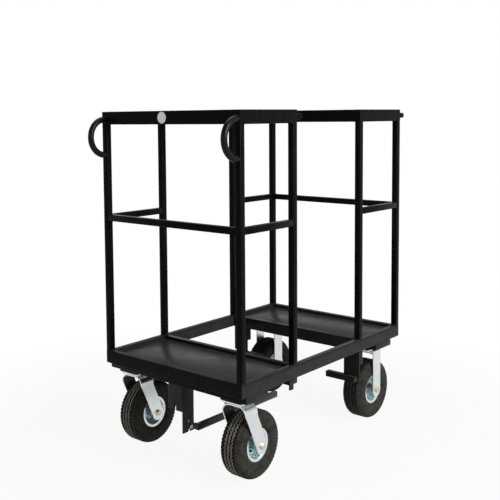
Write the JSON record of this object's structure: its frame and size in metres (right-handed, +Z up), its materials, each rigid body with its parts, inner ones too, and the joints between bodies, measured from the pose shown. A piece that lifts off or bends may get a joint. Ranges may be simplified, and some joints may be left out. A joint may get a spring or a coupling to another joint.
{
  "type": "stand cart",
  "caption": "Black tube cart that carries lighting stands upright in open end cages, with hanger rods, push handles and large air-filled caster wheels.",
  "frame": {"origin": "on the ground, under the middle of the overall length and width", "axes": "+X along the cart away from the push handles, +Y to the left seen from the push end, +Z up"},
  "size_m": [1.2342, 0.711, 1.366],
  "materials": {
    "black_powder_coat": "satin",
    "zinc_plate": "bright zinc plate",
    "plain_steel": "machined",
    "badge_metal": "brushed",
    "tyre_rubber": "matt, a little dusty"
  },
  "bodies": {
    "frame": {"badge_disc": "badge_metal", "base_cross_rail_far": "black_powder_coat", "base_cross_rail_push": "black_powder_coat", "base_end_rail_far": "black_powder_coat", "base_end_rail_push": "black_powder_coat", "base_side_rail_left": "black_powder_coat", "base_side_rail_right": "black_powder_coat", "caster_channel_far": "black_powder_coat", "caster_channel_push": "black_powder_coat", "far_cage_end_mid_rail": "black_powder_coat", "far_cage_side_frame_left": "black_powder_coat", "far_cage_side_frame_right": "black_powder_coat", "far_cage_top_ring": "black_powder_coat", "floor_far": "black_powder_coat", "floor_push": "black_powder_coat", "guard_bar_left": "black_powder_coat", "guard_bar_right": "black_powder_coat", "guard_bracket_left": "black_powder_coat", "guard_bracket_right": "black_powder_coat", "hanger_rod_far": "black_powder_coat", "hanger_rod_push": "black_powder_coat", "push_cage_end_mid_rail": "black_powder_coat", "push_cage_side_frame_left": "black_powder_coat", "push_cage_side_frame_right": "black_powder_coat", "push_cage_top_ring": "black_powder_coat", "push_handle_left": "black_powder_coat", "push_handle_right": "black_powder_coat", "rigid_left_axle": "plain_steel", "rigid_left_fork": "zinc_plate", "rigid_right_axle": "plain_steel", "rigid_right_fork": "zinc_plate", "swivel_left_bearing_race": "zinc_plate", "swivel_left_kingpin": "plain_steel", "swivel_left_top_plate": "zinc_plate", "swivel_right_bearing_race": "zinc_plate", "swivel_right_kingpin": "plain_steel", "swivel_right_top_plate": "zinc_plate", "tow_bar_keeper": "black_powder_coat", "tow_bracket": "black_powder_coat", "tow_pin": "plain_steel", "underframe_cross_member": "black_powder_coat"},
    "swivel_right_yoke": {"swivel_right_fork": "zinc_plate", "swivel_right_axle": "plain_steel"},
    "swivel_right_wheel": {"swivel_right_rim": "zinc_plate", "swivel_right_hub_bearing": "plain_steel", "swivel_right_tyre": "tyre_rubber"},
    "rigid_right_wheel": {"rigid_right_rim": "zinc_plate", "rigid_right_hub_bearing": "plain_steel", "rigid_right_tyre": "tyre_rubber"},
    "swivel_left_yoke": {"swivel_left_fork": "zinc_plate", "swivel_left_axle": "plain_steel"},
    "swivel_left_wheel": {"swivel_left_rim": "zinc_plate", "swivel_left_hub_bearing": "plain_steel", "swivel_left_tyre": "tyre_rubber"},
    "rigid_left_wheel": {"rigid_left_rim": "zinc_plate", "rigid_left_hub_bearing": "plain_steel", "rigid_left_tyre": "tyre_rubber"},
    "tow_arm": {"tow_bar": "black_powder_coat"}
  },
  "joints": [
    {"name": "swivel_right_turn", "type": "hinge", "parent": "frame", "child": "swivel_right_yoke", "pos_m": [-0.44076, -0.2705, 0.3], "axis": [0, 0, 1], "continuous": true},
    {"name": "swivel_right_roll", "type": "hinge", "parent": "swivel_right_yoke", "child": "swivel_right_wheel", "pos_m": [-0.38506, -0.2705, 0.128], "axis": [0, 1, 0], "continuous": true},
    {"name": "rigid_right_roll", "type": "hinge", "parent": "frame", "child": "rigid_right_wheel", "pos_m": [0.44224, -0.2705, 0.128], "axis": [0, 1, 0], "continuous": true},
    {"name": "swivel_left_turn", "type": "hinge", "parent": "frame", "child": "swivel_left_yoke", "pos_m": [-0.44076, 0.2705, 0.3], "axis": [0, 0, 1], "continuous": true},
    {"name": "swivel_left_roll", "type": "hinge", "parent": "swivel_left_yoke", "child": "swivel_left_wheel", "pos_m": [-0.38506, 0.2705, 0.128], "axis": [0, 1, 0], "continuous": true},
    {"name": "rigid_left_roll", "type": "hinge", "parent": "frame", "child": "rigid_left_wheel", "pos_m": [0.44224, 0.2705, 0.128], "axis": [0, 1, 0], "continuous": true},
    {"name": "tow_bar_lift", "type": "hinge", "parent": "frame", "child": "tow_arm", "pos_m": [-0.45876, 0, 0.153], "axis": [0, -1, 0], "range_deg": [0, 25]}
  ]
}
